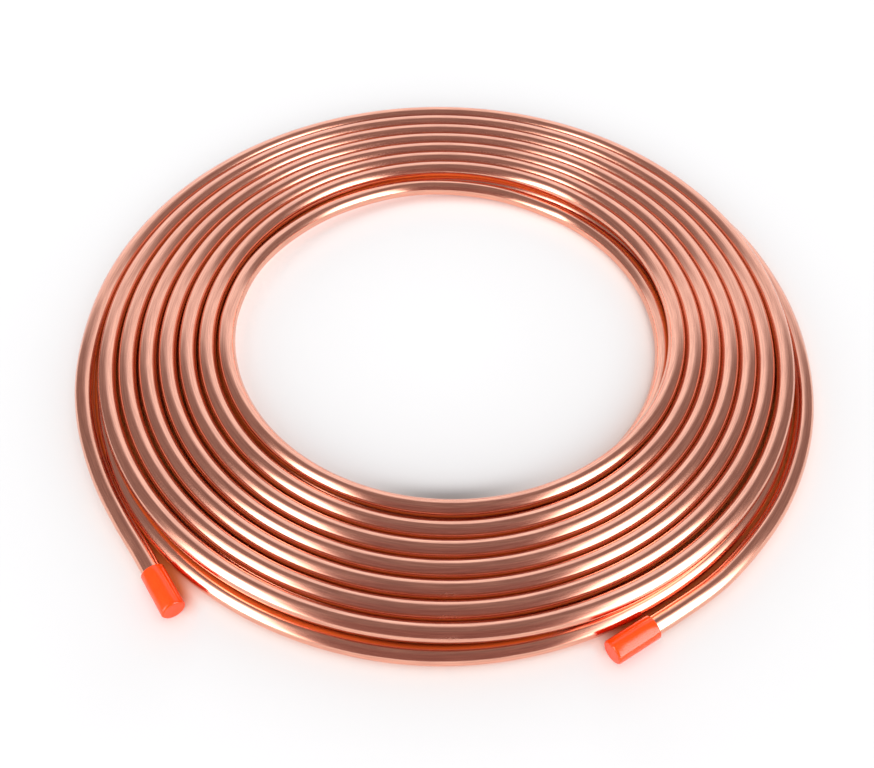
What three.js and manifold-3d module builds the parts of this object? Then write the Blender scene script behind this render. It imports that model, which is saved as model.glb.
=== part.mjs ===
// Coil of soft copper tube, lying flat: one unbroken tube wound as a pancake of two
// layers, the upper on the lower, with a plastic cap pushed over each of its two ends.
// Millimetres, +Z up, the lower layer standing on z = 0.
//
// The winding is one turned solid with its bore.  Each layer is the profile of its seven
// turns carried once round the middle while it moves outward by one turn, so that every
// turn runs on into the next one and shows as a ridge on the end faces.  The tube itself
// comes free in three places: the two tails outside, and the climb from the lower layer
// to the upper one inside the bore.
import * as THREE from 'three';
import { mergeVertices } from 'three/addons/utils/BufferGeometryUtils.js';
import Module from 'manifold-3d';

const wasm = await Module();
wasm.setup();
const { Manifold, Mesh } = wasm;

// ---- driving dimensions -------------------------------------------------------------
const TUBE_OD = 9.52;                    // 3/8 in soft refrigeration tube
const TURNS = 7;                         // turns in each layer
const LAYER_RISE = TUBE_OD;              // the upper layer lies straight on the lower one

const WOUND_RADIUS = 121.4;              // to the centre line of the lower layer's inner end
const LOWER_GAP = 0.48;                  // between one turn and the next
const LOWER_DRIFT = [0, -0.38];          // each turn sits this much off the last
const LOWER_START = 52.5;                // azimuth in degrees where the layer begins and ends

const UPPER_OUTSET = 2.86;               // the upper layer starts this much further out
const UPPER_GAP = 0.66;
const UPPER_DRIFT = [-0.60, -0.29];
const UPPER_START = 180;

// stretches where the tube lies off its even spiral: it starts to leave at the first
// turn, is fully off from the second to the third and is back at the fourth; the last
// number is how far out it goes
const UPPER_SLACK = [
  [0, 0.25, 0.25, 0.5, -1.43],                                    // drawn in at the start
  [TURNS - 0.8, TURNS - 0.6, TURNS - 0.6, TURNS - 0.4, 1.24],     // gapes at the right
  [TURNS - 0.4, TURNS - 0.17, TURNS - 0.07, TURNS + 0.2, -0.86],  // and is tight behind
];
const LOWER_SLACK = [
  [TURNS - 1.7, TURNS - 1.4, TURNS - 1.25, TURNS - 0.95, 1.5],    // a little loose at the left
  [TURNS - 0.95, TURNS - 0.76, TURNS - 0.5, TURNS + 0.45, 6.66],  // the last turn has sprung out
  [TURNS - 0.7, TURNS - 0.58, TURNS - 0.52, TURNS - 0.38, 2.1],   // and most of all in front
];

// where the tube lies free: the azimuth in degrees, how far out from the turn that it
// leaves in tube diameters, and its level, 0 in the lower layer and 1 in the upper
const LEFT_TAIL = [[190, 0.24, 0.86], [200, 0.43, 0.65], [210, 0.55, 0.40], [218, 0.67, 0.20]];
const RIGHT_TAIL = [
  [310, 1.24, 0.06], [325, 1.10, 0.02], [340, 0.91, 0.01],
  [355, 0.64, 0.01], [370, 0.45, 0.01], [387, 0.26, 0.01],
];
const CLIMB = [[75, -0.13, 0.12], [100, -0.20, 0.36], [125, -0.25, 0.64], [150, -0.13, 0.86]];

// where each tail goes into its cap: azimuth, how far out, and the way it points there in
// degrees from +X
const LEFT_MOUTH = { azimuth: 227.7, out: 1.16, heading: -55.7 };
const RIGHT_MOUTH = { azimuth: 296.9, out: 1.36, heading: 211.9 };

const CAP_WALL = 0.79;
const CAP_CLEARANCE = 0.35;              // round the tube, and under its end
const CAP_OD = TUBE_OD + 2 * (CAP_CLEARANCE + CAP_WALL);
const CAP_LENGTH = 24;
const CAP_END = 2.2;                     // thickness of the closed end
const CAP_ROUND = 0.9;                   // rounded edge of the closed end
const CAP_LIP = 0.25;                    // chamfer on the open edge

const STEPS = 48;                        // steps in one turn
const RIDGE = 5;                         // facets over the crest of one turn
const TUBE_SIDES = 10;                   // facets round the free tube
const TUBE_STEP = 1.3 * TUBE_OD;         // length of the free tube's facets
const CAP_SIDES = 24;                    // facets round a cap
const LAP = [0.07, 0.04, 0.01];          // the free tube runs on this far into a layer, in turns
const BED = 0.15;                        // the layers are pressed into one another by this
const SINK = 0.12;                       // the free tube keeps this far inside the crests

const COPPER = { color: 0xc9826a, metalness: 0.9, roughness: 0.32 };
const CAP_ORANGE = { color: 0xff5216, metalness: 0.0, roughness: 0.45 };

// ---- the centre line ----------------------------------------------------------------
const TUBE_R = TUBE_OD / 2;
const LOWER_Z = TUBE_R;
const UPPER_Z = TUBE_R + LAYER_RISE;
const LOWER_PITCH = TUBE_OD + LOWER_GAP;
const UPPER_PITCH = TUBE_OD + UPPER_GAP;
const UPPER_INNER = WOUND_RADIUS + UPPER_OUTSET;
const CAP_Z = CAP_OD / 2;                // the caps lie on the ground

const rad = (degrees) => degrees * Math.PI / 180;

// 0 before from, 1 after to, and smooth between them
function ease(t, from, to) {
  return 0.5 - 0.5 * Math.cos(Math.PI * THREE.MathUtils.clamp((t - from) / (to - from), 0, 1));
}

// how far the tube lies outside its even spiral at turn t
function slackAt(t, stretches) {
  let off = 0;
  for (const [from, full, until, to, most] of stretches) {
    off += most * ease(t, from, full) * (1 - ease(t, until, to));
  }
  return off;
}

// centre of the upper layer's tube, t turns after its start (t grows outward)
function upperAt(t) {
  const a = rad(UPPER_START + 360 * t);
  const r = UPPER_INNER + UPPER_PITCH * t + slackAt(t, UPPER_SLACK);
  return [UPPER_DRIFT[0] * t + r * Math.cos(a), UPPER_DRIFT[1] * t + r * Math.sin(a)];
}

// centre of the lower layer's tube, w turns outside its inner end (w grows outward and
// the azimuth runs the other way, as the tube comes in from outside)
function lowerAt(w) {
  const a = rad(LOWER_START - 360 * w);
  const r = WOUND_RADIUS + LOWER_PITCH * w + slackAt(w, LOWER_SLACK);
  return [LOWER_DRIFT[0] * w + r * Math.cos(a), LOWER_DRIFT[1] * w + r * Math.sin(a)];
}

// distance from the middle at which each layer's last turn ends
const UPPER_OUTER = Math.hypot(...upperAt(TURNS));
const LOWER_OUTER = Math.hypot(...lowerAt(TURNS));

// a point given by its distance from the middle, azimuth and height
function polar(r, azimuth, z) {
  const a = rad(azimuth);
  return new THREE.Vector3(r * Math.cos(a), r * Math.sin(a), z);
}

// ---- helpers ------------------------------------------------------------------------
function toSolid(geometry) {
  const g = geometry.clone();
  g.deleteAttribute('normal');
  g.deleteAttribute('uv');
  const m = mergeVertices(g, 1e-5);
  return new Manifold(new Mesh({
    numProp: 3,
    vertProperties: new Float32Array(m.attributes.position.array),
    triVerts: new Uint32Array(m.index.array),
  }));
}

function toGeometry(solid) {
  const mesh = solid.getMesh();
  const g = new THREE.BufferGeometry();
  g.setAttribute('position', new THREE.BufferAttribute(new Float32Array(mesh.vertProperties), 3));
  g.setIndex(new THREE.BufferAttribute(new Uint32Array(mesh.triVerts), 1));
  g.computeVertexNormals();
  return g;
}

function towards(from, to, share) {
  return [from[0] + (to[0] - from[0]) * share, from[1] + (to[1] - from[1]) * share];
}

// ---- one layer of turns -------------------------------------------------------------
// The profile of a layer at one step of the sweep: a closed row of points that goes over
// the crests from the innermost turn to the outermost and back along the flat side where
// the layer beds on the other one.  up is +1 for the upper layer and -1 for the lower.
function layerProfile(at, step, middleZ, up) {
  const row = [];
  const centre = (k) => at(k + step);
  const flank = (k, side) => {                           // a full tube radius to that side
    const c = centre(k);
    const n = centre(k + side);
    return towards(c, n, TUBE_R / Math.hypot(n[0] - c[0], n[1] - c[1]));
  };
  const put = (p, height) => row.push([p[0], p[1], middleZ + up * height]);
  const crest = (angle) => TUBE_R * Math.sin(angle) / Math.cos(Math.PI / (2 * RIDGE));
  const bed = -(LAYER_RISE / 2 + BED);
  for (const turn of [-2, -1]) {                         // round the inside of the first turn
    const angle = Math.PI * turn / RIDGE;
    const height = turn === -2 ? bed : crest(angle);
    put(towards(centre(0), flank(0, -1), Math.cos(angle)), height);
  }
  for (let k = 0; k < TURNS; k += 1) {
    const inner = k === 0 ? flank(0, -1) : towards(centre(k), centre(k - 1), 0.5);
    const outer = k === TURNS - 1 ? flank(k, 1) : towards(centre(k), centre(k + 1), 0.5);
    put(inner, 0);
    for (let i = 1; i < RIDGE; i += 1) {
      const angle = Math.PI * i / RIDGE;
      const c = Math.cos(angle);
      put(towards(centre(k), c > 0 ? inner : outer, Math.abs(c)), crest(angle));
    }
  }
  put(flank(TURNS - 1, 1), 0);
  for (const turn of [-1, -2]) {                         // round the outside of the last turn
    const angle = Math.PI * turn / RIDGE;
    const height = turn === -2 ? bed : crest(angle);
    put(towards(centre(TURNS - 1), flank(TURNS - 1, 1), Math.cos(angle)), height);
  }
  return row;
}

// carries the profile from one step to another; the two ends are closed flat
function layerSector(at, from, to, middleZ, up) {
  const rows = [];
  for (let i = from; i <= to; i += 1) {
    rows.push(layerProfile(at, i / STEPS, middleZ, up));
  }
  const n = rows[0].length;
  const index = [];
  for (let i = 0; i + 1 < rows.length; i += 1) {
    for (let j = 0; j < n; j += 1) {
      const a = i * n + j;
      const b = i * n + (j + 1) % n;
      index.push(a, b, b + n, a, b + n, a + n);
    }
  }
  const flat = rows[0].map((p) => new THREE.Vector2(Math.hypot(p[0], p[1]), up * p[2]));
  const last = (rows.length - 1) * n;
  for (const [a, b, c] of THREE.ShapeUtils.triangulateShape(flat, [])) {
    index.push(a, b, c);
    index.push(last + a, last + c, last + b);
  }
  const g = new THREE.BufferGeometry();
  g.setAttribute('position', new THREE.Float32BufferAttribute(rows.flat(2), 3));
  g.setIndex(index);
  return toSolid(g);
}

// two half turns that share one step at each end, so that the layer closes on itself
function layer(at, middleZ, up) {
  const half = STEPS / 2;
  return layerSector(at, 0, half + 1, middleZ, up)
    .add(layerSector(at, half, STEPS + 1, middleZ, up));
}

// ---- the free tube ------------------------------------------------------------------
function freeTube(points) {
  const ring = new THREE.Shape();
  for (let i = 0; i < TUBE_SIDES; i += 1) {
    const a = 2 * Math.PI * i / TUBE_SIDES;
    if (i === 0) ring.moveTo(TUBE_R, 0);
    else ring.lineTo(TUBE_R * Math.cos(a), TUBE_R * Math.sin(a));
  }
  const path = new THREE.CatmullRomCurve3(points, false, 'centripetal');
  const steps = Math.ceil(path.getLength() / TUBE_STEP);
  return toSolid(new THREE.ExtrudeGeometry(ring, { steps, extrudePath: path, bevelEnabled: false }));
}

// where the free tube lies in a layer, it stays just inside the layer's flat crests
const onUpper = (t) => new THREE.Vector3(...upperAt(t), UPPER_Z - SINK);
const onLower = (w) => new THREE.Vector3(...lowerAt(w), LOWER_Z + SINK);

// the free stretch that leaves a turn of the given radius
function stretch(radius, points) {
  return points.map(([azimuth, out, level]) => (
    polar(radius + out * TUBE_OD, azimuth, LOWER_Z + level * LAYER_RISE)
  ));
}

// the centre of a cap's mouth
function mouthAt(radius, mouth) {
  return polar(radius + mouth.out * TUBE_OD, mouth.azimuth, CAP_Z);
}

const LEFT_END = mouthAt(UPPER_OUTER, LEFT_MOUTH);
const RIGHT_END = mouthAt(LOWER_OUTER, RIGHT_MOUTH);
const IN_CAP = CAP_LENGTH - CAP_END - CAP_CLEARANCE;     // length of tube inside a cap
const STRAIGHT = 12;                                     // and just before it

// the straight end of the tube, from just before its cap to the bottom of it
function tubeEnd(at, mouth) {
  const a = rad(mouth.heading);
  const way = new THREE.Vector3(Math.cos(a), Math.sin(a), 0);
  return [-STRAIGHT, -STRAIGHT / 2, 0, IN_CAP / 2, IN_CAP]
    .map((distance) => at.clone().addScaledVector(way, distance));
}

// the upper layer's last turn leaves the winding, lies on the lower layer's outermost
// turn as far as the left, and comes down to the ground beyond it
function leftTail() {
  return freeTube([
    ...LAP.map((turns) => onUpper(TURNS - turns)),
    ...stretch(UPPER_OUTER, LEFT_TAIL),
    ...tubeEnd(LEFT_END, LEFT_MOUTH),
  ]);
}

// the lower layer's outermost turn swings out along the right side, on the ground
function rightTail() {
  return freeTube([
    ...tubeEnd(RIGHT_END, RIGHT_MOUTH).reverse(),
    ...stretch(LOWER_OUTER, RIGHT_TAIL),
    ...LAP.map((turns) => onLower(TURNS - turns)).reverse(),
  ]);
}

// inside the bore the tube climbs from the lower layer to the start of the upper one
function climb() {
  return freeTube([
    ...LAP.map(onLower),
    ...stretch(WOUND_RADIUS, CLIMB),
    ...LAP.map(onUpper).reverse(),
  ]);
}

// ---- nodes --------------------------------------------------------------------------
function mesh(name, geometry, look) {
  const m = new THREE.Mesh(geometry, new THREE.MeshStandardMaterial(look));
  m.name = name;
  return m;
}

function copperTube() {
  const solid = Manifold.union([
    layer(upperAt, UPPER_Z, 1),
    layer(lowerAt, LOWER_Z, -1),
    leftTail(), rightTail(), climb(),
  ]);
  return mesh('copper_tube', toGeometry(solid), COPPER);
}

// a sleeve with one closed end: turned about Y, its mouth at y = 0
function endCap(name, at, heading) {
  const r = CAP_OD / 2;
  const bore = TUBE_R + CAP_CLEARANCE;
  const corner = CAP_ROUND * (1 - Math.SQRT1_2);         // the rounded edge's middle
  const profile = [
    [0, CAP_LENGTH - CAP_END],
    [bore, CAP_LENGTH - CAP_END],
    [bore, CAP_LIP],
    [bore + CAP_LIP, 0],
    [r - CAP_LIP, 0],
    [r, CAP_LIP],
    [r, CAP_LENGTH - CAP_ROUND],
    [r - corner, CAP_LENGTH - corner],
    [r - CAP_ROUND, CAP_LENGTH],
    [0, CAP_LENGTH],
  ].map(([x, y]) => new THREE.Vector2(x, y));
  const cap = mesh(name, new THREE.LatheGeometry(profile, CAP_SIDES), CAP_ORANGE);
  cap.position.copy(at);
  cap.rotation.z = rad(heading - 90);
  return cap;
}

const coil = new THREE.Group();
coil.name = 'copper_tube_coil';
const winding = new THREE.Group();
winding.add(
  copperTube(),
  endCap('end_cap_left', LEFT_END, LEFT_MOUTH.heading),
  endCap('end_cap_right', RIGHT_END, RIGHT_MOUTH.heading),
);
coil.add(winding);

// the origin is at the middle of the coil's outline, on the ground
const box = new THREE.Box3().setFromObject(winding, true);
const middle = box.getCenter(new THREE.Vector3());
winding.position.set(-middle.x, -middle.y, -box.min.z);

export default coil;
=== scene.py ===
# Coil of soft copper tube with an orange cap on each end, on a pale floor in studio light.
# Metres, +Z up, the coil standing on z = 0 with the middle of its outline at the origin.
import bpy
import math
import numpy as np
from mathutils import Matrix, Vector


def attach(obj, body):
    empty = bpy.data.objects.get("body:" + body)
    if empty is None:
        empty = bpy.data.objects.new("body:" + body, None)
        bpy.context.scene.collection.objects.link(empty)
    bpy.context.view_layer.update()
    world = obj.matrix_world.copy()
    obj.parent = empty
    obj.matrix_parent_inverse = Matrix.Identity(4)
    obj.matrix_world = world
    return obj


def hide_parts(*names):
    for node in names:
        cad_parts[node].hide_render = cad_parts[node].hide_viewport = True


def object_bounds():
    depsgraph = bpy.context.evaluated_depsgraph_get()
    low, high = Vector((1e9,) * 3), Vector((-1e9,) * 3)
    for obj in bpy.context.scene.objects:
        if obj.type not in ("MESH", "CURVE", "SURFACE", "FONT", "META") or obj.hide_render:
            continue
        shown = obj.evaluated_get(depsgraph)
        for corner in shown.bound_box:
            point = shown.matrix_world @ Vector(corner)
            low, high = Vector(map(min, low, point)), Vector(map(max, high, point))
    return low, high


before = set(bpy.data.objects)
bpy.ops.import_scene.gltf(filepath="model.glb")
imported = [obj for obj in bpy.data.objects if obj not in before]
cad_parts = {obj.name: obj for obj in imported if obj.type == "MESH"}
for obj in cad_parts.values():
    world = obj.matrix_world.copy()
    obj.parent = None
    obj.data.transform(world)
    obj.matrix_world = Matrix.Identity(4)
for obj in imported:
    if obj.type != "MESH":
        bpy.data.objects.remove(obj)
cad_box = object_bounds()
scene = bpy.context.scene

MM = 0.001
D = 9.52                                  # outside diameter of the tube, mm
R = D / 2
WALL = 0.81                               # wall of the tube
TURNS = 7                                 # in each layer
WOUND = 121.4                             # centre line of the lower layer's inner end
LOWER_PITCH = D + 0.48
UPPER_PITCH = D + 0.66
UPPER_INNER = WOUND + 2.86
LOWER_Z = R
UPPER_Z = R + D
CAP_OD = 11.8
CAP_LENGTH = 24.0
CAP_END = 2.2                             # thickness of a cap's closed end
CAP_BORE = CAP_OD / 2 - 0.79              # inside radius of a cap
CAP_Z = CAP_OD / 2
SHIFT = (0.716, 2.208)                     # from the middle of the winding to the origin

STEP = 5.0                                # spacing of the rings along the tube
SIDES = 28                                # points round the tube
BORE_DEPTH = 12.0                         # how far the tube's bore is open at each end
CAP_FILLET = 1.1                          # rounding of a cap's closed end
CAP_SIDES = 64


# ---- camera ---------------------------------------------------------------------------
FOCAL, WIDE = 973.18, 874                 # focal length and width of the picture, pixels
SENSOR = 36                               # width, mm
ELEVATION = 51.5307                       # degrees
TARGET = (-0.6339, -3.8168)               # from the middle of the winding, tube diameters
DISTANCE = 56.8985                        # from the target, tube diameters


def make_camera():
    data = bpy.data.cameras.new("camera")
    data.sensor_width = SENSOR
    data.lens = FOCAL / WIDE * SENSOR
    cam = bpy.data.objects.new("camera", data)
    scene.collection.objects.link(cam)
    target = Vector(((TARGET[0] * D + SHIFT[0]) * MM, (TARGET[1] * D + SHIFT[1]) * MM, 0))
    up = math.radians(ELEVATION)
    away = DISTANCE * D * MM
    cam.location = target + away * Vector((0, -math.cos(up), math.sin(up)))
    cam.rotation_euler = (math.radians(90) - up, 0, 0)
    scene.camera = cam


# ---- the way the tube runs, in mm, round the middle of the winding ---------------------
# (turn where it starts, is full, stops being full, is over; how far out at most, mm)
UPPER_SLACK = ((0, 0.25, 0.25, 0.5, -1.43), (6.2, 6.4, 6.4, 6.6, 1.24),
               (6.6, 6.83, 6.93, 7.2, -0.86))
LOWER_SLACK = ((5.3, 5.6, 5.75, 6.05, 1.5), (6.05, 6.24, 6.5, 7.45, 6.66),
               (6.3, 6.42, 6.48, 6.62, 2.1))


def ease(t, start, stop):
    return 0.5 - 0.5 * math.cos(math.pi * min(max((t - start) / (stop - start), 0), 1))


def slack(t, stretches):
    """How far the tube lies outside its even spiral at turn t."""
    return sum(most * ease(t, start, full) * (1 - ease(t, until, stop))
               for start, full, until, stop, most in stretches)


def upper(t, z=UPPER_Z):
    a = math.radians(180 + 360 * t)
    r = UPPER_INNER + UPPER_PITCH * t + slack(t, UPPER_SLACK)
    return np.array((-0.60 * t + r * math.cos(a), -0.29 * t + r * math.sin(a), z))


def lower(w, z=LOWER_Z):
    a = math.radians(52.5 - 360 * w)
    r = WOUND + LOWER_PITCH * w + slack(w, LOWER_SLACK)
    return np.array((r * math.cos(a), -0.38 * w + r * math.sin(a), z))


UPPER_OUTER = float(np.hypot(*upper(TURNS)[:2]))
LOWER_OUTER = float(np.hypot(*lower(TURNS)[:2]))


def polar(r, azimuth, z):
    a = math.radians(azimuth)
    return np.array((r * math.cos(a), r * math.sin(a), z))


def stretch(radius, points):
    return [polar(radius + out * D, az, LOWER_Z + level * D) for az, out, level in points]


# (azimuth in degrees, how far outside the layer, level; both in tube diameters)
LEFT_TAIL = ((190, 0.24, 0.86), (200, 0.43, 0.65), (210, 0.55, 0.40), (218, 0.67, 0.20))
RIGHT_TAIL = ((310, 1.24, 0.06), (325, 1.10, 0.02), (340, 0.91, 0.01),
              (355, 0.64, 0.01), (370, 0.45, 0.01), (387, 0.26, 0.01))
CLIMB = ((75, -0.13, 0.27), (100, -0.20, 0.55), (125, -0.30, 0.80), (145, -0.12, 0.93),
         (162, 0.15, 0.99))
# (where the mouth of the cap is, which way the cap points in degrees)
LEFT_MOUTH = (polar(UPPER_OUTER + 1.16 * D, 227.7, CAP_Z), -55.7)
RIGHT_MOUTH = (polar(LOWER_OUTER + 1.36 * D, 296.9, CAP_Z), 211.9)
IN_CAP = CAP_LENGTH - CAP_END - 0.35      # length of tube inside a cap


def tube_end(mouth):
    at, heading = mouth
    a = math.radians(heading)
    way = np.array((math.cos(a), math.sin(a), 0))
    return [at + way * s for s in (-12.0, -6.0, 0.0, IN_CAP / 2, IN_CAP)]


def curve_through(points, ends):
    """Centripetal Catmull-Rom through the points, without the stretches before ends[0]
    and after ends[1], which only give it its direction."""
    p = np.array(points)
    p = np.vstack((2 * p[0] - p[1], p, 2 * p[-1] - p[-2]))
    out = []
    for i in range(1 + ends[0], len(p) - 2 - ends[1]):
        p0, p1, p2, p3 = p[i - 1:i + 3]
        d0, d1, d2 = (max(np.linalg.norm(b - a) ** 0.5, 1e-6)
                      for a, b in ((p0, p1), (p1, p2), (p2, p3)))
        m1 = ((p1 - p0) / d0 - (p2 - p0) / (d0 + d1) + (p2 - p1) / d1) * d1
        m2 = ((p2 - p1) / d1 - (p3 - p1) / (d1 + d2) + (p3 - p2) / d2) * d1
        for t in np.linspace(0, 1, 24, endpoint=False):
            out.append((2 * t**3 - 3 * t**2 + 1) * p1 + (t**3 - 2 * t**2 + t) * m1
                       + (3 * t**2 - 2 * t**3) * p2 + (t**3 - t**2) * m2)
    return out


def centre_line():
    """The whole strand from the bottom of the left cap to the bottom of the right one."""
    left = curve_through(
        tube_end(LEFT_MOUTH)[::-1] + stretch(UPPER_OUTER, LEFT_TAIL)[::-1]
        + [upper(TURNS - 0.01), upper(TURNS - 0.04)], (0, 1))
    top = [upper(t) for t in np.linspace(TURNS - 0.01, 0, 3600)]
    climb = curve_through(
        [upper(0.03), upper(0)] + stretch(WOUND, CLIMB)[::-1] + [lower(0), lower(0.03)],
        (1, 1))
    bottom = [lower(w) for w in np.linspace(0, TURNS, 3600)]
    right = curve_through(
        [lower(TURNS - 0.04), lower(TURNS)] + stretch(LOWER_OUTER, RIGHT_TAIL)[::-1]
        + tube_end(RIGHT_MOUTH), (1, 0))
    return even(np.array(left + top + climb + bottom + right), STEP)


def even(line, step):
    """The same line with points a step apart."""
    s = np.concatenate(((0,), np.cumsum(np.linalg.norm(np.diff(line, axis=0), axis=1))))
    keep = np.concatenate(((True,), np.diff(s) > 1e-6))
    s, line = s[keep], line[keep]
    at = np.linspace(0, s[-1], int(round(s[-1] / step)) + 1)
    return np.stack([np.interp(at, s, line[:, i]) for i in range(3)], axis=-1), at


# ---- meshes ---------------------------------------------------------------------------
def rise(v, width):
    """0 well below zero, 1 well above it; most of the change is within the width."""
    return 1 / (1 + np.exp(-np.clip(4 * v / width, -40, 40)))


def mesh_object(name, verts, faces):
    mesh = bpy.data.meshes.new(name)
    mesh.from_pydata([tuple(v) for v in verts], [], faces)
    mesh.polygons.foreach_set("use_smooth", [True] * len(mesh.polygons))
    mesh.update()
    ob = bpy.data.objects.new(name, mesh)
    scene.collection.objects.link(ob)
    return ob


def between_turns(line, tangent, side, top, ring):
    """For each point of the skin, how squarely it faces a turn close by: 0 in the open,
    a half where that turn just comes into its way, 1 well between the two."""
    squarely = np.zeros(ring.shape[:2])
    place = np.arange(len(line))
    for i in place:
        off = line - line[i]
        near = (np.abs(off @ tangent[i]) < STEP) & (np.abs(place - i) > 12)
        off = off[near & ((off ** 2).sum(axis=1) < (2.2 * D) ** 2)]
        if len(off):
            across = np.stack((off @ side[i], off @ top[i]), axis=-1)
            skin = np.stack((ring[i] @ side[i], ring[i] @ top[i]), axis=-1)
            apart = np.linalg.norm(across, axis=-1)
            turned = np.degrees(np.arccos(np.clip(skin @ (across / apart[:, None]).T, -1, 1)))
            reach = np.degrees(np.arcsin(np.clip(R / apart, 0, 1)))
            close = np.clip((9.0 - (apart - D)) / 5.0, 0, 1)
            wider = np.where(np.abs(across[:, 1]) > R, 0.3, 0)   # gaps between the layers
            value = np.clip(0.5 + wider + (reach - turned) / 30, 0, 1) * close
            squarely[i] = value.max(axis=1)
    return squarely


def scuffs(line, ring):
    """Where the outer turns have rubbed against something, low on their front side."""
    away = line[:, :2] / np.linalg.norm(line[:, :2], axis=1, keepdims=True)
    level = np.degrees(np.arctan2(ring[..., 2], (ring[..., :2] * away[:, None, :]).sum(axis=-1)))
    out = np.clip((np.linalg.norm(line[:, :2], axis=1) - 155) / 5, 0, 1) * (line[:, 1] < -140)
    along = out * (line[:, 2] > UPPER_Z - 1) * np.exp(-(line[:, 0] / 4) ** 2)
    return along[:, None] * np.exp(-((level - 30) / 11) ** 2)


def lit_gaps(x, y):
    """Which of the gaps catch more light, where the painted bounce light between the turns is a
    brighter orange: the inner one at the back, the wider ones inside the two ends, and the
    outermost one left of the front."""
    r, a = np.hypot(x, y), np.degrees(np.arctan2(y, x))
    return (rise(135 - r, 6) * np.exp(-((a - 82) / 38) ** 4)
            + rise(r - 187, 6) * np.exp(-((a + 42) / 24) ** 4)
            + rise(r - 198, 4) * np.exp(-((a + 137) / 9) ** 4)
            + rise(r - 190, 4) * np.exp(-((a + 115) / 14) ** 4)).clip(0, 1)


def mirrored(x, y):
    """Where the outermost gap mirrors a softbox and stays bright: right of the front."""
    r, a = np.hypot(x, y), np.degrees(np.arctan2(y, x))
    return rise(r - 188.5, 4) * np.exp(-((a + 59) / 14) ** 4)


def make_tube():
    line, along = centre_line()
    line = line + np.array((SHIFT[0], SHIFT[1], 0))
    tangent = np.gradient(line, axis=0)
    tangent /= np.linalg.norm(tangent, axis=1, keepdims=True)
    side = np.cross(tangent, (0, 0, 1))
    side /= np.linalg.norm(side, axis=1, keepdims=True)
    top = np.cross(side, tangent)
    angle = np.radians(-90 + 360 * np.arange(SIDES) / SIDES)
    c, s = np.cos(angle), np.sin(angle)
    n = len(line)
    ring = (c[None, :, None] * side[:, None, :] + s[None, :, None] * top[:, None, :])
    verts = (line[:, None, :] + R * ring).reshape(-1, 3)
    coords = np.zeros((n, SIDES, 3))
    coords[..., 0] = along[:, None]
    coords[..., 1] = R * c[None, :]
    coords[..., 2] = R * s[None, :]
    coords = coords.reshape(-1, 3)
    # where the skin faces a turn close by, the colour is painted orange for the light bounced from
    # copper to copper; it is left off where the outermost gap mirrors a softbox
    between = between_turns(line, tangent, side, top, ring).ravel()
    between *= 1 - mirrored(*verts[:, :2].T)
    worn = scuffs(line, ring).ravel()
    painted_gap_light = lit_gaps(*verts[:, :2].T)
    faces = []
    for i in range(n - 1):
        for j in range(SIDES):
            k = (j + 1) % SIDES
            faces.append((i * SIDES + j, i * SIDES + k, (i + 1) * SIDES + k, (i + 1) * SIDES + j))
    # the ends are cut square and show the wall and the bore
    for end, i in ((0, 0), (1, n - 1)):
        outer = list(range(i * SIDES, (i + 1) * SIDES))
        into = tangent[i] * (1 if end == 0 else -1)
        for depth in (0.0, BORE_DEPTH):
            start = len(verts)
            verts = np.vstack((verts, line[i] + into * depth + (R - WALL) * ring[i]))
            coords = np.vstack((coords, coords[outer] * (1, 1 - WALL / R, 1 - WALL / R)))
            between, worn, painted_gap_light = (np.append(v, np.zeros(SIDES))
                                     for v in (between, worn, painted_gap_light))
            inner = list(range(start, start + SIDES))
            for j in range(SIDES):
                k = (j + 1) % SIDES
                f = (outer[k], outer[j], inner[j], inner[k])
                faces.append(f if end == 0 else f[::-1])
            outer = inner
        faces.append(tuple(outer[::-1] if end == 0 else outer))
    low, high = np.array(cad_box)                # the strand keeps inside the part's box
    strand = mesh_object("copper_strand", np.clip(verts * MM, low, high), faces)
    for name, kind, field, values in (("tube", "FLOAT_VECTOR", "vector", coords * MM),
                                      ("between", "FLOAT", "value", between),
                                      ("worn", "FLOAT", "value", worn),
                                      ("painted_gap_light", "FLOAT", "value", painted_gap_light)):
        a = strand.data.attributes.new(name, kind, "POINT")
        a.data.foreach_set(field, values.astype(np.float32).ravel())
    return strand


def make_cap(name, mouth):
    """A moulded sleeve: one lathed wall with a closed, slightly domed end."""
    r, bore = CAP_OD / 2, CAP_BORE
    profile = [(0, CAP_LENGTH - CAP_END), (bore - 0.5, CAP_LENGTH - CAP_END)]
    profile += [(bore, CAP_LENGTH - CAP_END - 0.5), (bore, 1.2), (bore + 0.12, 0.25),
                (bore + 0.30, 0.0), (r - 0.30, 0.0), (r - 0.08, 0.10), (r, 0.35)]
    profile += [(r, CAP_LENGTH * q) for q in (0.25, 0.5, 0.75)]
    for i in range(7):
        a = math.radians(90 * i / 6)
        profile.append((r - CAP_FILLET + CAP_FILLET * math.cos(a),
                        CAP_LENGTH - CAP_FILLET + CAP_FILLET * math.sin(a)))
    profile += [(r * 0.45, CAP_LENGTH - 0.02), (0, CAP_LENGTH - 0.06)]
    verts, faces, rings = [], [], []
    at, heading = mouth
    turn = Matrix.Rotation(math.radians(heading), 3, "Z")
    base = Vector((at[0] + SHIFT[0], at[1] + SHIFT[1], at[2]))
    for rho, x in profile:
        if rho == 0:
            rings.append([len(verts)])
            verts.append(base + turn @ Vector((x, 0, 0)))
            continue
        rings.append(list(range(len(verts), len(verts) + CAP_SIDES)))
        for i in range(CAP_SIDES):
            a = 2 * math.pi * i / CAP_SIDES
            verts.append(base + turn @ Vector((x, rho * math.cos(a), rho * math.sin(a))))
    for p, q in zip(rings, rings[1:]):
        for i in range(CAP_SIDES):
            j = (i + 1) % CAP_SIDES
            if len(p) == 1:
                faces.append((p[0], q[i], q[j]))
            elif len(q) == 1:
                faces.append((p[i], q[0], p[j]))
            else:
                faces.append((p[i], q[i], q[j], p[j]))
    return mesh_object(name, [v * MM for v in verts], faces)


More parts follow.
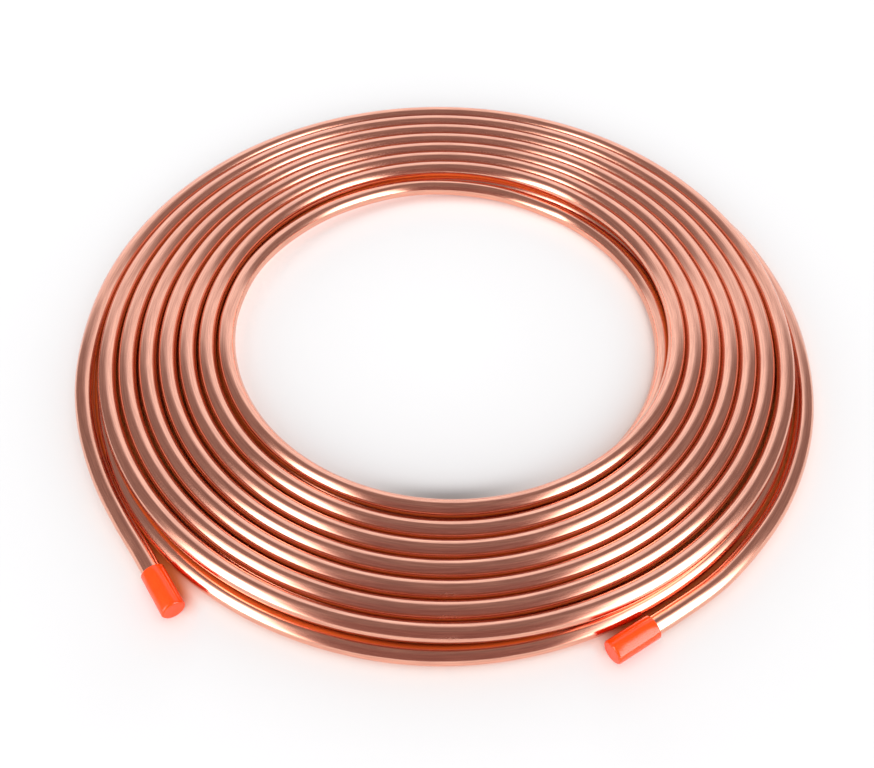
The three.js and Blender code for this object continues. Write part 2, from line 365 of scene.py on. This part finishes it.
# ---- materials ------------------------------------------------------------------------
def material(name):
    m = bpy.data.materials.new(name)
    m.use_nodes = True
    tree = m.node_tree
    return m, tree, tree.nodes["Principled BSDF"]


def add(tree, kind, inputs=(), **props):
    node = tree.nodes.new(kind)
    for key, value in props.items():
        setattr(node, key, value)
    for key, value in dict(inputs).items():
        if isinstance(value, bpy.types.NodeSocket):
            tree.links.new(value, node.inputs[key])
        else:
            node.inputs[key].default_value = value
    return node


def copper_material():
    m, tree, shader = material("copper")
    tube = add(tree, "ShaderNodeAttribute", attribute_name="tube").outputs["Vector"]
    # drawing lines and handling marks run along the tube
    fine = add(tree, "ShaderNodeVectorMath", {0: tube, 1: (14, 900, 900)}, operation="MULTIPLY")
    lines = add(tree, "ShaderNodeTexNoise", {"Vector": fine.outputs[0], "Scale": 1.0,
                "Detail": 3.0})
    broad = add(tree, "ShaderNodeVectorMath", {0: tube, 1: (22, 160, 160)}, operation="MULTIPLY")
    haze = add(tree, "ShaderNodeTexNoise", {"Vector": broad.outputs[0], "Scale": 1.0,
               "Detail": 4.0})
    tone = add(tree, "ShaderNodeMix", {"A": (0.98, 0.50, 0.365, 1), "B": (0.95, 0.455, 0.32, 1)},
               data_type="RGBA")
    tree.links.new(haze.outputs["Fac"], tone.inputs["Factor"])
    # fine streaks, a centimetre or two long
    thin = add(tree, "ShaderNodeVectorMath", {0: tube, 1: (70, 1500, 1500)}, operation="MULTIPLY")
    thin = add(tree, "ShaderNodeTexNoise", {"Vector": thin.outputs[0], "Scale": 1.0, "Detail": 2.0})
    thin = add(tree, "ShaderNodeMapRange", {"Value": thin.outputs["Fac"], "From Min": 0.35,
               "From Max": 0.65, "To Min": 0.0, "To Max": 0.5})
    streak = add(tree, "ShaderNodeMix", {"Factor": thin.outputs[0], "B": (0.62, 0.27, 0.20, 1)},
                 data_type="RGBA")
    tree.links.new(tone.outputs["Result"], streak.inputs["A"])
    # short pale scuffs
    speck = add(tree, "ShaderNodeVectorMath", {0: tube, 1: (350, 2200, 2200)}, operation="MULTIPLY")
    speck = add(tree, "ShaderNodeTexNoise", {"Vector": speck.outputs[0], "Scale": 1.0,
                "Detail": 1.0})
    speck = add(tree, "ShaderNodeMapRange", {"Value": speck.outputs["Fac"], "From Min": 0.42,
                "From Max": 0.58})
    worn = add(tree, "ShaderNodeAttribute", attribute_name="worn").outputs["Fac"]
    scuff = add(tree, "ShaderNodeMath", {0: speck.outputs[0], 1: worn}, operation="MULTIPLY")
    # painted light: between the turns the colour is painted a deep orange, and the metal made
    # partly matt, for the light that has gone from copper to copper
    between = add(tree, "ShaderNodeAttribute", attribute_name="between").outputs["Fac"]
    tint = add(tree, "ShaderNodeMapRange", {"Value": between, "From Min": 0.50, "From Max": 0.92},
               interpolation_type="SMOOTHSTEP").outputs[0]
    # painted light: a brighter orange in the gaps that catch more light
    painted_gap_light = add(tree, "ShaderNodeAttribute", attribute_name="painted_gap_light").outputs["Fac"]
    orange = add(tree, "ShaderNodeMix", {"A": (0.55, 0.095, 0.018, 1), "B": (0.77, 0.15, 0.03, 1)},
                 data_type="RGBA")
    tree.links.new(painted_gap_light, orange.inputs["Factor"])
    deep = add(tree, "ShaderNodeMix", data_type="RGBA")
    tree.links.new(tint, deep.inputs["Factor"])
    tree.links.new(orange.outputs["Result"], deep.inputs["B"])
    tree.links.new(streak.outputs["Result"], deep.inputs["A"])
    tree.links.new(deep.outputs["Result"], shader.inputs["Base Color"])
    metal = add(tree, "ShaderNodeMapRange", {"Value": between, "From Min": 0.62, "From Max": 1.0,
                "To Min": 1.0, "To Max": 0.2}, interpolation_type="SMOOTHSTEP")
    tree.links.new(metal.outputs[0], shader.inputs["Metallic"])
    rough = add(tree, "ShaderNodeMapRange", {"Value": haze.outputs["Fac"], "From Min": 0.3,
                "From Max": 0.75, "To Min": 0.13, "To Max": 0.22})
    rough = add(tree, "ShaderNodeMath", {0: scuff.outputs[0], 1: 0.35, 2: rough.outputs[0]},
                operation="MULTIPLY_ADD")
    tree.links.new(rough.outputs[0], shader.inputs["Roughness"])
    bump = add(tree, "ShaderNodeBump", {"Strength": 0.25, "Distance": 0.0002,
               "Height": lines.outputs["Fac"]})
    tree.links.new(bump.outputs[0], shader.inputs["Normal"])
    shader.inputs["Specular IOR Level"].default_value = 0.0
    return m


def cap_material():
    m, tree, shader = material("cap_orange")
    where = add(tree, "ShaderNodeTexCoord").outputs["Object"]
    grain = add(tree, "ShaderNodeTexNoise", {"Vector": where, "Scale": 900.0, "Detail": 3.0})
    cloud = add(tree, "ShaderNodeTexNoise", {"Vector": where, "Scale": 120.0, "Detail": 2.0})
    tone = add(tree, "ShaderNodeMix", {"A": (1.0, 0.068, 0.004, 1), "B": (0.98, 0.052, 0.002, 1)},
               data_type="RGBA")
    tree.links.new(cloud.outputs["Fac"], tone.inputs["Factor"])
    tree.links.new(tone.outputs["Result"], shader.inputs["Base Color"])
    bump = add(tree, "ShaderNodeBump", {"Strength": 0.08, "Distance": 0.0002,
               "Height": grain.outputs["Fac"]})
    tree.links.new(bump.outputs[0], shader.inputs["Normal"])
    shader.inputs["Roughness"].default_value = 0.09
    shader.inputs["Specular IOR Level"].default_value = 0.5
    shader.inputs["Subsurface Weight"].default_value = 0.15
    shader.inputs["Subsurface Radius"].default_value = (1.0, 0.25, 0.08)
    shader.inputs["Subsurface Scale"].default_value = 0.002
    return m


def floor_material():
    m, tree, shader = material("pale_floor")
    # the base colour carries painted shade and the emission a painted glow
    for name, socket in (("tone", "Base Color"), ("painted_glow", "Emission Color")):
        tint = add(tree, "ShaderNodeAttribute", attribute_name=name).outputs["Color"]
        tree.links.new(tint, shader.inputs[socket])
    shader.inputs["Emission Strength"].default_value = 1.0
    shader.inputs["Roughness"].default_value = 0.9
    shader.inputs["Specular IOR Level"].default_value = 0.0
    return m


# ---- studio ---------------------------------------------------------------------------
# inside and outside the coil: how much painted shade dims the floor and over how many mm, and over
# how many mm the painted glow, for the light the copper casts back, dies away
DIM_IN, DIM_OUT = (0.11, 40), (0.12, 30)
THROW_IN, THROW_OUT = 7, 5
HALFWAY = 150                             # between the coil's inside and its outside, mm
SPOKES = 360                              # one a degree
BATCH = 2000                              # floor points worked out at a time


def make_floor():
    """A pale floor with painted shade beside the coil and a painted glow for the light the copper
    casts back on it.
    """
    rings = np.concatenate(((90,), np.arange(96, 228, 2.0), (240, 300, 600, 6000)))
    a = np.radians(np.arange(SPOKES))
    grid = rings[:, None, None] * np.stack((np.cos(a), np.sin(a)), axis=-1)[None]
    verts = np.vstack(((0, 0), grid.reshape(-1, 2)))
    faces = [(0, 1 + j, 1 + (j + 1) % SPOKES) for j in range(SPOKES)]
    for i in range(len(rings) - 1):
        for j in range(SPOKES):
            p, q = 1 + i * SPOKES + j, 1 + i * SPOKES + (j + 1) % SPOKES
            faces.append((p, p + SPOKES, q + SPOKES, q))
    line = centre_line()[0] + np.array((SHIFT[0], SHIFT[1], 0))
    tone, painted_glow = np.ones((2, len(verts), 4))
    out = np.hypot(*verts.T)
    a = np.degrees(np.arctan2(verts[:, 1], verts[:, 0]))
    # the painted glow is strongest at the back left, where the copper faces the softboxes and casts
    # most light back
    facing = 0.5 + 0.5 * np.cos(np.radians(a - 150))
    # a painted contact shadow on the floor inside the front of the coil
    front = 0.70 * np.exp(-((a + 90) / 18) ** 2)
    for start in range(0, len(verts), BATCH):
        part = slice(start, start + BATCH)
        off = line[None, :, :2] - verts[part, None, :]
        level = np.sqrt((off ** 2).sum(axis=-1) + line[:, 2] ** 2)
        near = np.exp(-np.maximum(level - R, 0) / 6)
        total = near.sum(axis=1)
        lean = np.linalg.norm(((near / level)[:, :, None] * off).sum(axis=1), axis=-1)
        # floor closed in between copper walls is painted orange, for the light the copper bounces
        # into it
        enclosed = np.clip((0.55 - lean / np.maximum(total, 1e-9)) / 0.35, 0, 1)
        enclosed *= np.minimum(total * STEP / 9, 1)
        gap = np.maximum(level.min(axis=1) - R, 0)
        inside = out[part] < HALFWAY
        contact = front[part] * rise(15.2 - np.maximum(gap, 12), 9)
        # painted shade beside the coil, and a painted warm cast that takes green and blue near the
        # copper
        shade = np.where(inside, DIM_IN[0] * np.exp(-gap / DIM_IN[1]) + contact,
                         DIM_OUT[0] * np.exp(-gap / DIM_OUT[1]))
        # the painted glow, an emission on the floor, for the light the copper casts back
        close = np.exp(-gap / np.where(inside, THROW_IN, THROW_OUT))
        light = np.where(inside, 0.10 + 0.70 * facing[part], 0.25) * close
        warm = 0.28 * close
        for i, (pale, orange, taken) in enumerate(((0.622, 0.62, 0), (0.638, 0.16, 0.7),
                                                   (0.642, 0.045, 1.0))):
            tone[part, i] = ((1 - enclosed) * pale * np.maximum(1 - shade - taken * warm, 0)
                             + enclosed * orange)
            painted_glow[part, i] = light * np.clip((0.9 - enclosed) / 0.4, 0, 1)
    floor = mesh_object("floor", np.column_stack((verts, np.zeros(len(verts)))) * MM, faces)
    for name, values in (("tone", tone), ("painted_glow", painted_glow)):
        floor.data.attributes.new(name, "FLOAT_COLOR", "POINT").data.foreach_set(
            "color", values.astype(np.float32).ravel())
    floor.data.materials.append(floor_material())


def make_world():
    world = bpy.data.worlds.new("studio")
    world.use_nodes = True
    scene.world = world
    tree = world.node_tree
    tree.nodes["Background"].inputs["Color"].default_value = (0.95, 0.90, 0.905, 1)
    tree.nodes["Background"].inputs["Strength"].default_value = 1.0


def softbox(x, y, z, outer, inner):
    """A tall soft light at the front left, between two slanted edges, fading overhead.
    outer and inner are the azimuths of those edges at the level of the coil."""
    a, b = math.radians(outer), math.radians(inner)
    side = y * math.cos(a) - x * math.sin(a) + 0.10 * z
    front = 0.958 * (x * math.sin(b) - y * math.cos(b)) - 0.285 * z
    return 6.0 * rise(side, 0.17) * rise(front, 0.15) * rise(0.83 - z, 0.24)


def make_surroundings():
    """What the bright tube mirrors: a dim warm room, a pale backdrop behind the coil and a
    tall softbox on each side of the front, as one dome of soft light round the coil."""
    radius, around, up = 0.8, 180, 60
    verts = [(0.0, 0.0, 1.0)]
    for i in range(up):
        e = math.radians(90 * i / up)
        verts += [(math.cos(e) * math.cos(a), math.cos(e) * math.sin(a), math.sin(e))
                  for a in np.radians(360 * np.arange(around) / around)]
    faces = [(0, 1 + (up - 1) * around + (j + 1) % around, 1 + (up - 1) * around + j)
             for j in range(around)]
    for i in range(up - 1):
        for j in range(around):
            k = (j + 1) % around
            p = 1 + i * around
            faces.append((p + j, p + around + j, p + around + k, p + k))
    v = np.array(verts)
    x, y, z = v.T
    back = rise(y - 0.185 * z - 0.435, 0.137)
    soft = softbox(x, y, z, 209, 237.8) + softbox(-x, y, z, 204.9, 239.6)
    low = rise(-y - 0.45, 0.3)
    dome = mesh_object("surroundings", v * radius, faces)
    glow = dome.data.attributes.new("glow", "FLOAT_COLOR", "POINT")
    colour = np.ones((len(v), 4), dtype=np.float32)
    for i, (room, less, pale) in enumerate(((0.305, 0.03, 0.79), (0.25, 0.08, 0.90),
                                            (0.245, 0.08, 0.97))):
        colour[:, i] = room - less * low + pale * back + soft
    glow.data.foreach_set("color", colour.ravel())
    m = bpy.data.materials.new("surroundings")
    m.use_nodes = True
    tree = m.node_tree
    tree.nodes.remove(tree.nodes["Principled BSDF"])
    level = add(tree, "ShaderNodeAttribute", attribute_name="glow").outputs["Color"]
    light = add(tree, "ShaderNodeEmission", {"Color": level, "Strength": 1.0})
    tree.links.new(light.outputs[0], tree.nodes["Material Output"].inputs["Surface"])
    dome.data.materials.append(m)
    dome.visible_camera = False
    dome.visible_shadow = False
    dome.visible_diffuse = False              # matt surfaces have the even light of the world


def make_lights():
    """Light that only reaches matt surfaces: from overhead, and lower from the front."""
    for name, energy, wide, tilt in (("overhead", 1.1, 70, 5), ("front", 2.0, 50, 55)):
        sun = bpy.data.lights.new(name, "SUN")
        sun.energy = energy
        sun.angle = math.radians(wide)
        ob = bpy.data.objects.new(name, sun)
        ob.rotation_euler = (math.radians(tilt), 0, 0)
        ob.visible_glossy = False
        scene.collection.objects.link(ob)


# ---- scene ----------------------------------------------------------------------------
make_camera()
scene.view_settings.view_transform = "Standard"

strand = make_tube()
strand.data.materials.append(copper_material())
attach(strand, "root")
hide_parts("copper_tube")

plastic = cap_material()
for name, mouth in (("end_cap_left", LEFT_MOUTH), ("end_cap_right", RIGHT_MOUTH)):
    cap = make_cap(name + "_sleeve", mouth)
    cap.data.materials.append(plastic)
    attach(cap, "root")
    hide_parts(name)

make_floor()
make_world()
make_surroundings()
make_lights()
